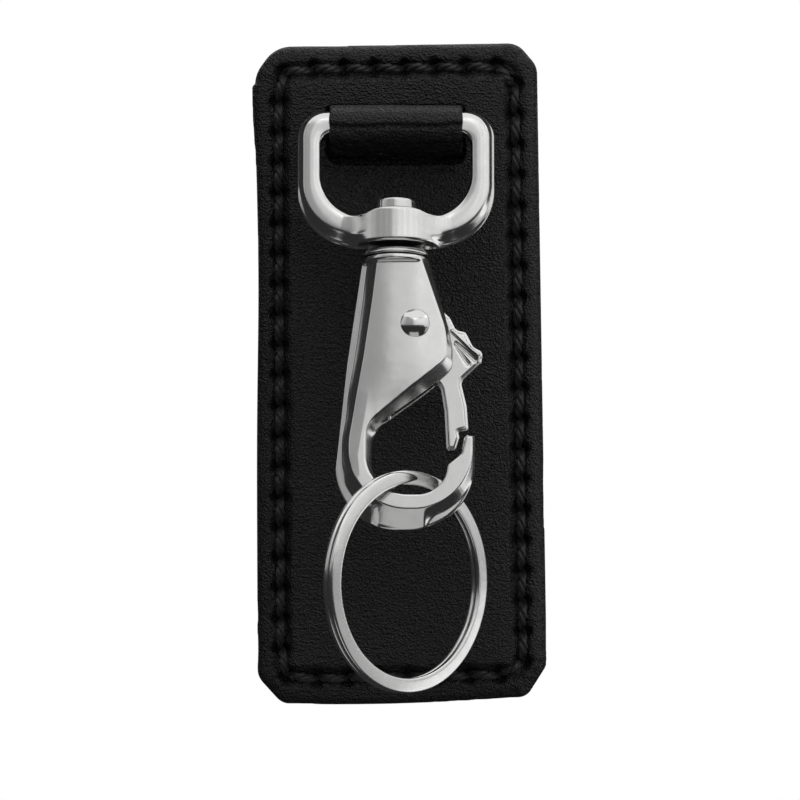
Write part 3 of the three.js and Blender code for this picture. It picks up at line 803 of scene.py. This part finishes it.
def joined(pieces):
    """Several (points, faces) as one."""
    points, faces, used = [], [], 0
    for piece_points, piece_faces in pieces:
        points.append(piece_points)
        faces += [tuple(i + used for i in face) for face in piece_faces]
        used += len(piece_points)
    return np.concatenate(points), faces


def stitch_run(holes, outward_sign, depth, sink, lift, radius, closed):
    """Stitches from each hole to the next, in X and Z, on a surface that faces along Y."""
    outward = np.array([0, outward_sign, 0.0])
    surface = {"outward": outward, "depth": depth * outward_sign}
    pieces = []
    count = len(holes)
    for i in range(count if closed else count - 1):
        a, b = holes[i], holes[(i + 1) % count]
        # each stitch comes out at its upper or left end, where it stands proudest
        across, up = b - a
        level = abs(up) < 0.3 * abs(across)
        if up > 0.3 * abs(across) or (across < 0 and level):
            a, b = b, a
        start, end = np.array([a[0], 0, a[1]]), np.array([b[0], 0, b[1]])
        along = (end - start) / np.linalg.norm(end - start)
        sideways = np.cross(outward, along)
        slant = RNG.uniform(0.12, 0.26)
        start = start + 0.45 * along + slant * sideways
        end = end - 0.25 * along - slant * sideways
        size = radius * RNG.uniform(0.92, 1.08)
        rise = lift + RNG.uniform(-0.06, 0.06)
        pieces += twisted_stitch(start, end, sideways, surface, sink, rise, size)
    return joined(pieces)


def make_stitches(name, replaced, holes, outward_sign, depth, **size):
    points, faces = stitch_run(holes, outward_sign, depth, **size)
    piece = mesh_object(name, points, faces, THREAD)
    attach(piece, "panel")
    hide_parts(replaced)


def make_all_stitches():
    front = {"sink": 1.5, "lift": 0.35, "radius": 0.62, "closed": True}
    rear = {"sink": 0.4, "lift": 0.3, "radius": 0.42, "closed": True}
    loop = {"sink": 0.6, "lift": 0.25, "radius": 0.42, "closed": False}
    make_stitches(
        "seam_stitches", "seam_needle_thread", SEAM_HOLES, -1, BORDER_FRONT + 0.3, **front
    )
    make_stitches(
        "seam_stitches_rear", "seam_bobbin_thread", SEAM_HOLES, 1, BACK_REAR - 0.2, **rear
    )
    for where, height in (("upper", 28.0), ("lower", -28.0)):
        holes = np.array([(x, height) for x in np.linspace(-13, 13, 7)])
        name, replaced = f"loop_stitches_{where}", f"belt_loop_{where}_stitching"
        make_stitches(name, replaced, holes, 1, LOOP_END_REAR - 0.1, **loop)


def strap(name, path, width, thickness, ripple, material, pitch=0.3):
    """A leather strap carried along a path in Y and Z; ripple(x, s) moves its outer face."""
    outline = rounded_box(-width / 2, -thickness / 2, width / 2, thickness / 2, 0.3, None, 20)
    section, _ = even_points(outline, pitch)
    path = np.asarray(path, float)
    travelled = distances_along(path)
    count = int(travelled[-1] / (pitch * 0.6))
    s = np.linspace(0, travelled[-1], count)
    centre = np.stack([np.interp(s, travelled, path[:, k]) for k in range(2)], axis=1)
    ahead = np.gradient(centre, axis=0)
    for _ in range(3):
        ahead[1:-1] = (ahead[:-2] + 2 * ahead[1:-1] + ahead[2:]) / 4
    ahead = unit_rows(ahead)
    outer = np.stack([ahead[:, 1], -ahead[:, 0]], axis=1)
    across, through = section[:, 0], section[:, 1]
    outside = smoothstep(through, 0, thickness / 2)
    rings = []
    for k in range(count):
        push = through + outside * ripple(across, np.full(len(across), s[k]))
        wobble = 0.1 * value_noise(np.full(len(across), s[k]), across * 0, 1.4, 11)
        x = across * (1 + wobble / (width / 2))
        rings.append(
            np.stack([x, centre[k, 0] + push * outer[k, 0], centre[k, 1] + push * outer[k, 1]], axis=1)
        )
    points, faces = swept(rings)
    return mesh_object(name, points, faces, material)


def bezier_points(a, b, c, d, steps=24):
    """Points of a cubic curve from a to d, with b and c as its handles."""
    t = np.linspace(0, 1, steps)[:, None]
    a, b, c, d = (np.array(p, float) for p in (a, b, c, d))
    return (1 - t) ** 3 * a + 3 * (1 - t) ** 2 * t * b + 3 * (1 - t) * t**2 * c + t**3 * d


def make_hook_tab():
    """The strap round the eye's bar, creased along its front and tucked into the window."""
    wrap = EYE_BAR_RADIUS + 0.12 + TAB_THICKNESS / 2
    top = BAR[2] + wrap
    path = [(TAB_TAIL_DEPTH, 29.1)]
    path += arc_points((TAB_TAIL_DEPTH - 1, top + 1), 1, 0, -90, 10)
    path += arc_points((BAR[1], BAR[2]), wrap, 90, 270, 40)
    path += [(-7.9, 19.62)]
    into_window = (-7.6, 19.5), (-6.3, 19.25), (TAB_TAIL_DEPTH, 18.6), (TAB_TAIL_DEPTH, 17.2)
    path += bezier_points(*into_window, 12).tolist()
    path += [(TAB_TAIL_DEPTH, 11.4)]
    # the foremost point is halfway round the bar, after the tail and the arc down to it
    front = distances_along(path)[11 + 20]

    def ripple(x, s):
        line = front + 0.2 + 0.28 * value_noise(x, 0 * x, 3.2, 21)
        crease = np.exp(-(((s - line) / 0.27) ** 2))
        below = smoothstep(s, front + 0.4, front + 1.0)
        folds = value_noise(x, s * 2.2, 1.7, 22) * 0.11 + value_noise(x, s * 3, 0.7, 23) * 0.05
        crest = value_noise(x, s, 4.0, 24) * 0.06 + value_noise(x, s, 0.8, 25) * 0.02
        return -0.5 * crease + below * folds + (1 - below) * crest

    piece = strap("leather_tab", path, TAB_WIDTH, TAB_THICKNESS, ripple, TAB_LEATHER, 0.2)
    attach(piece, "panel")
    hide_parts("hook_tab")


def make_belt_loop():
    """The strap behind the panel that a belt passes through."""
    flat = BACK_REAR + 0.05 + LOOP_THICKNESS / 2
    outer = LOOP_REAR - LOOP_THICKNESS / 2
    gap = 23
    upper = bezier_points((flat, gap + 3), (flat, gap), (outer, gap + 2), (outer, gap - 2.4))
    lower = bezier_points((outer, -gap + 2.4), (outer, -gap - 2), (flat, -gap), (flat, -gap - 3))
    path = [(flat, LOOP_END), *upper.tolist(), *lower.tolist(), (flat, -LOOP_END)]
    # the path runs down, so its outer face is turned to the rear
    path = np.array(path)[::-1]

    def ripple(x, s):
        return 0.03 * value_noise(x, s, 5.0, 31) + 0.015 * value_noise(x, s, 1.1, 32)

    piece = strap("belt_strap", path, LOOP_WIDTH, LOOP_THICKNESS, ripple, LEATHER, 0.4)
    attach(piece, "panel")
    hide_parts("belt_loop")


def make_back_panel():
    """The lining: a flat leather, with a groove that the stitches pull in."""
    edge = distance_map(panel_outline(BACK_INSET), 0.15, margin=2.0)
    x, z = edge.grid()
    seam = distance_like(edge, seam_outline()).values
    groove = 0.4 * np.exp(-((seam / 0.6) ** 4))
    for hx, hz in SEAM_HOLES:
        groove = np.maximum(groove, 0.7 * np.exp(-(((x - hx) / 0.55) ** 2 + ((z - hz) / 0.55) ** 2)))
    wander = 0.03 * value_noise(x, z, 7.0, 41) + 0.02 * value_noise(x, z, 2.0, 42)
    rear_map = edge.with_values(BACK_REAR - 0.03 - groove + wander).blurred(1)
    rear_slope = steepness(rear_map)

    def field(px, py, pz):
        behind = (py - rear_map(px, pz)) / rear_slope(px, pz)
        return np.maximum(soft_max(behind, edge(px, pz), 0.5), BACK_FRONT - py)

    points, faces = level_set(field, (-20, -4.4, -59.4), (21.6, -2.6, 35), 0.22)
    piece = mesh_object("rear_lining", points, faces, LINING)
    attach(piece, "panel")
    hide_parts("back_panel")


def finish_hidden_pieces():
    """The pieces that stay as they are, inside, get real surfaces too."""
    board, nodes, links, shader = new_material("pressed_fibreboard")
    place = nodes.new("ShaderNodeTexCoord").outputs["Object"]
    fibres = noise_node(nodes, links, place, 2200, 5, 0.65, (1, 1, 0.35))
    browns = [(0.3, (0.006, 0.006, 0.006)), (0.7, (0.016, 0.015, 0.014))]
    colour = ramp_node(nodes, links, fibres.outputs["Fac"], browns)
    links.new(colour, shader.inputs["Base Color"])
    links.new(bump_node(nodes, links, fibres.outputs["Fac"], 0.4, 0.0001), shader.inputs["Normal"])
    shader.inputs["Roughness"].default_value = 0.85
    for node, material in (
        ("core_board", board),
        ("tab_upper_stitching", THREAD),
        ("tab_lower_stitching", THREAD),
    ):
        materials = frame["nodes"][node].data.materials
        materials.clear()
        materials.append(material)


# ---- metal


def hook_outline():
    """The hook from the front, down its back, round the bend to the nose and up past the gate."""
    return rounded_outline(
        [
            (-4.95, -20.5, 0.2), (-7.2, -35.5, 60), (-8.85, -50.5, 0), (-8.95, -59.5, 9.0),
            (11.45, -59.5, 9.9), (11.6, -45.9, 0.6), (10.0, -45.85, 0.7), (9.4, -48.7, 1.2),
            (7.4, -50.2, 1.0), (7.35, -54.65, 4.2), (-3.6, -54.65, 5.2), (-3.4, -45.3, 4.0),
            (7.0, -38.6, 1.0), (8.45, -36.8, 2.2), (8.3, -32.0, 9.0), (4.85, -20.5, 0.2),
        ]
    )


def face_outline():
    """The raised part of the hook's front, inside its bevels."""
    return rounded_outline(
        [
            (-2.65, -20.0, 0.2), (-3.45, -26.5, 20), (-4.75, -35.0, 20), (-6.85, -46.5, 8.0),
            (-6.85, -56.7, 8.4), (10.9, -56.7, 8.4), (11.1, -46.3, 0.3), (10.3, -46.3, 0.3),
            (9.7, -48.8, 1.0), (7.55, -50.5, 1.0), (7.4, -54.45, 4.2), (-4.5, -54.6, 5.6),
            (-4.5, -44.5, 4.5), (7.35, -35.1, 2.2), (7.3, -31.0, 9.0), (3.5, -20.0, 0.2),
        ]
    )


def make_hook_body():
    """The cast hook: bevelled front and rear, with a slot for the gate and a bore for the pin."""
    def top(u, v):
        shank = smoothstep(v, -46, -34)
        depth = 2.55 + 0.95 * shank
        ridge = np.interp(v, [-52, -49, -41, -38], [-5.3, -5.6, -4.25, -4.0])
        limb = smoothstep(-v, 39, 44) * (1 - smoothstep(u, -3.8, -2.5)) * (1 - smoothstep(-v, 50.5, 53))
        roof = np.where(u < ridge, 0.22, 0.02) * np.abs(u - ridge)
        return depth - 0.014 * shank * (u - 1.5) ** 2 - limb * roof

    def land(u, v):
        window_side = smoothstep(u, -4.5, -2.5) * smoothstep(v, -45.5, -43.5)
        limb = smoothstep(-u, 2, 4) * smoothstep(-v, 30, 44)
        return 0.9 + 0.55 * window_side * (1 - smoothstep(v, -33, -30)) - 0.4 * limb

    def slope(u, v):
        window_side = smoothstep(u, -4.5, -2.5) * smoothstep(v, -47, -44) * (1 - smoothstep(v, -34, -31))
        left = 1 - smoothstep(u, -4.5, -2.5)
        bend = smoothstep(-v, 54.5, 56.5) * smoothstep(u, -7, -3) * (1 - smoothstep(u, 4, 6))
        return 1.85 - 0.35 * left - 0.8 * window_side - 1.15 * bend

    outer_map, heights = stepped_heights(hook_outline(), face_outline(), top, land, slope)
    plate = extruded_field(outer_map, heights, 0.3)
    slot_corners = [(-0.9, -25.2, 0.3), (14, -25.2, 0), (14, -44.2, 0), (-0.9, -44.2, 0.3)]
    slot = distance_map(rounded_outline(slot_corners), 0.1)

    def field(u, w, v):
        body = plate(u, w, v)
        neck = drum(u, w, v, (0, 0, -20.45), 2, 4.9, 0.42, 0.3)
        body = soft_min(body, neck, 0.35)
        cavity = soft_max(slot(u, v), np.abs(w) - GATE_SLOT_HALF_DEPTH, 0.1)
        rivet_hole = round_hole(u - RIVET_U, v - RIVET_V, RIVET_HOLE_RADIUS)
        pin_hole = soft_max(round_hole(u, w, HOOK_BORE_RADIUS), -(v - HOOK_BORE_BOTTOM), 0.1)
        body = soft_max(body, -cavity, 0.25)
        return np.maximum(np.maximum(body, -rivet_hole), -pin_hole)

    points, faces = level_set(field, (-10, -5.4, -60.6), (12.8, 5.4, -19.4), 0.13)
    points[:, 0] *= HOOK_WIDTH_SCALE
    piece = mesh_object("hook_casting", hook_frame_to_world(points), faces, NICKEL)
    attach(piece, "hook")
    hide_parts("hook_body")


def make_eye():
    """The cast loop, with a rounded face, a steep outer bevel and a boss for the pin."""
    outer = rounded_box(-14.1, -18.2, 14.1, EYE_BAR_RADIUS, 8.3, 3.9)
    hole = rounded_box(-10.75, -13.95, 10.75, -EYE_BAR_RADIUS, 6.3, 1.6)
    face = rounded_box(-13.3, -16.6, 13.3, 1.2, 7.6, 3.4)

    def top(u, v):
        return EYE_BAR_RADIUS + 0 * u

    def land(u, v):
        return 0.62 + 0 * u

    def slope(u, v):
        return 2.2 - 1.0 * smoothstep(-v, 10.5, 14.5)

    outer_map, heights = stepped_heights(outer, face, top, land, slope)
    hole_map = distance_like(outer_map, hole).blurred(2)
    face_map = distance_like(outer_map, face)
    from_hole, from_rim = np.maximum(hole_map.values, 0), np.maximum(-face_map.values, 0)
    share = np.clip(from_hole / np.maximum(from_hole + from_rim, 1e-6), 0, 1)
    crown = 0.2 * (2 * share - 1) ** 2
    rolled = 0.3 * np.clip(1 - from_hole / 0.4, 0, 1) ** 2
    heights = heights.with_values(heights.values - crown - rolled).blurred(3)
    plate = extruded_field(outer_map, heights, 0.3)

    def field(u, w, v):
        loop = soft_max(plate(u, w, v), -hole_map(u, v), 0.3)
        boss = drum(u * 0.85, w, v, (0, 0, -15.65), 2, 5.05, 2.5, 0.5)
        boss = np.maximum(boss, v + 13.15 + 0.04 * u**2)
        return np.maximum(soft_min(loop, boss, 2.0), -round_hole(u, w, EYE_BORE_RADIUS))

    points, faces = level_set(field, (-15, -6.2, -19.8), (15, 6.2, 2.6), 0.13)
    piece = mesh_object("square_eye", hook_frame_to_world(points), faces, NICKEL)
    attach(piece, "eye")
    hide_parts("swivel_eye")


def make_swivel_pin():
    """The pin, whose head bears on the boss of the eye."""
    profile = [(0, -23.5), (1.4, -23.5), (1.5, -23.2), (1.5, -13.05), (2.85, -13.05)]
    profile += [(2.95, -12.97), (2.98, -12.8), (2.98, -11.85)]
    profile += arc_points((2.6, -11.76), 0.38, 5, 80, 8)
    profile += [(1.9, -11.36), (0.9, -11.32), (0, -11.31)]
    piece = revolve("headed_pin", profile, STEEL, place=hook_frame_to_world)
    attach(piece, "hook")
    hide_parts("swivel_pin")


def make_washer():
    """A ring with a bore, so its profile goes round a closed loop."""
    corners = [(1.8, -19.9), (4.7, -19.9), (4.9, -19.86)]
    corners += arc_points((4.88, -19.66), 0.17, -60, 60, 6)
    corners += arc_points((3.5, -20.2), 1.5, 22, 84, 10)
    corners += [(3.3, -18.68), (1.8, -18.68)]
    angles = full_circle(96)
    rings = [[(r * math.cos(a), r * math.sin(a), h) for r, h in corners] for a in angles]
    points, faces = swept(rings, closed=True)
    piece = mesh_object("swivel_flange", hook_frame_to_world(points), faces, STEEL)
    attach(piece, "hook")
    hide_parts("swivel_washer")


def make_rivet():
    """The gate's pivot, domed at both ends."""
    head, height, under = 2.13, 0.9, 3.4
    sphere = (head**2 + height**2) / (2 * height)
    angles = np.linspace(math.asin(head / sphere), 0, 12)
    dome = [(sphere * math.sin(a), under + height - sphere + sphere * math.cos(a)) for a in angles]
    upper = [(1.15, under - 0.05), (head - 0.08, under - 0.1)] + dome
    lower = [(r, -h) for r, h in upper][::-1]

    def place(points):
        across, up, outwards = points.T
        turned = [across + RIVET_U * HOOK_WIDTH_SCALE, outwards, up + RIVET_V]
        return hook_frame_to_world(np.stack(turned, axis=1))

    piece = revolve("gate_pivot", lower + upper, STEEL, sides=72, place=place)
    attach(piece, "hook")
    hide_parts("gate_rivet")


def along_line(gx, gy, start, end):
    """How far along a line each point of a grid lies, as a share, and how far from it."""
    (au, av), (bu, bv) = start, end
    length = math.hypot(bu - au, bv - av)
    share = np.clip(((gx - au) * (bu - au) + (gy - av) * (bv - av)) / length**2, 0, 1)
    return share, np.hypot(gx - au - share * (bu - au), gy - av - share * (bv - av))


def make_gate():
    """The thumb gate: a thin plate with two flutes below a raised bead, and a lower land round it."""
    outline = rounded_outline(
        [
            (6.5, -38.9, 2.0), (7.05, -42.3, 3.0), (7.35, -48.0, 0.4), (8.75, -47.9, 0.5),
            (9.3, -46.1, 0.3), (9.1, -45.3, 0.2), (10.6, -44.95, 0.3), (10.35, -41.5, 5.0),
            (9.5, -38.0, 1.0), (12.5, -35.2, 0.5), (12.75, -33.6, 0.9), (11.3, -32.9, 1.4),
            (10.2, -30.7, 0.7), (8.8, -30.4, 0.9), (7.9, -28.6, 1.0), (6.7, -27.5, 1.0),
            (3.4, -27.4, 1.0), (0.3, -28.6, 1.8), (0.6, -31.6, 1.5),
        ]
    )
    step = 0.06
    outer_map = distance_map(outline, step).blurred(2)
    gx, gy = outer_map.grid()
    depth = np.full(gx.shape, 0.95)
    for flute in [((8.7, -32.3), (11.6, -34.9)), ((8.6, -32.6), (10.5, -35.4))]:
        share, away = along_line(gx, gy, *flute)
        depth -= 0.34 * np.exp(-((away / (0.12 + 0.16 * share)) ** 2))
    for bead in [((8.3, -30.6), (10.4, -32.6)), ((10.4, -32.6), (12.2, -34.2))]:
        _, away = along_line(gx, gy, *bead)
        depth = np.maximum(depth, 1.15 - 0.9 * (away / 0.75) ** 2)
    depth -= 0.32 * smoothstep(outer_map.values, -0.5, -0.32)
    heights = outer_map.with_values(depth).blurred(1)
    plate = extruded_field(outer_map, heights, 0.2)

    def field(u, w, v):
        hole = round_hole(u - RIVET_U, v - RIVET_V, RIVET_HOLE_RADIUS)
        return np.maximum(plate(u, w, v), -hole)

    points, faces = level_set(field, (-0.6, -1.4, -49), (13.6, 1.4, -25), 0.1)
    points[:, 0] *= HOOK_WIDTH_SCALE
    piece = mesh_object("thumb_gate", hook_frame_to_world(points), faces, NICKEL)
    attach(piece, "gate")
    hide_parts("gate_lever")


def make_spring():
    """The coil that closes the gate."""
    turns, steps, coil, wire = 4, 160, 0.75, 0.16
    rings = []
    for i in range(steps + 1):
        angle = 2 * math.pi * turns * i / steps
        out = np.array([0, math.cos(angle), math.sin(angle)])
        centre = np.array([-0.6 + 2.35 * i / steps, 0, -34.2]) + coil * out
        rings.append(
            [
                centre + wire * (math.cos(t) * out + math.sin(t) * np.array([1.0, 0, 0]))
                for t in full_circle(10)
            ]
        )
    points, faces = swept(rings)
    piece = mesh_object("gate_coil_spring", hook_frame_to_world(points), faces, STEEL)
    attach(piece, "hook")
    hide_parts("gate_spring")


def make_split_ring():
    """Nearly two turns of dished band, which steps over from one coil to the other halfway."""
    low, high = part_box("split_ring")
    centre = np.array((low + high) / 2) / MM + [0, 0, RING_LIFT]
    middle = RING_RADIUS - RING_BAND / 2
    section = []
    for angle in full_circle(40):
        across_share, through_share = math.cos(angle), math.sin(angle)
        out = RING_BAND / 2 * math.copysign(abs(across_share) ** 0.5, across_share)
        through = RING_COIL / 2 * math.copysign(abs(through_share) ** 0.5, through_share)
        # the coils are slightly dished, as bent wire is
        section.append((out, through + 0.08 * out))
    turns, per_turn, step_over = 1.96, 200, 0.12
    count = int(turns * per_turn)
    across = np.array([math.cos(RING_TWIST), math.sin(RING_TWIST), 0])
    normal = np.array([-math.sin(RING_TWIST), math.cos(RING_TWIST), 0])
    rings = []
    for i in range(count + 1):
        turn = turns * i / count
        crossing = smoothstep(turn, turns / 2 - step_over / 2, turns / 2 + step_over / 2)
        offset = (RING_COIL + 0.05) / 2 * (2 * crossing - 1)
        angle = 2 * math.pi * turn + math.radians(84)
        out = math.cos(angle) * across + math.sin(angle) * np.array([0, 0, 1.0])
        from_end = min(i, count - i)
        taper = math.sqrt(min(1, (from_end + 0.3) / 11))
        thin = 0.35 + 0.65 * math.sqrt(min(1, (from_end + 0.3) / 4))
        rings.append(
            [centre + (middle + a * taper) * out + (offset + b * thin) * normal for a, b in section]
        )
    points, faces = swept(rings)
    piece = mesh_object("key_ring", points, faces, NICKEL)
    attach(piece, "ring")
    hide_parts("split_ring")


make_camera()
make_floor()
make_lights()
make_front_panel()
make_back_panel()
make_hook_tab()
make_belt_loop()
make_all_stitches()
finish_hidden_pieces()
make_hook_body()
make_eye()
make_swivel_pin()
make_washer()
make_rivet()
make_gate()
make_spring()
make_split_ring()
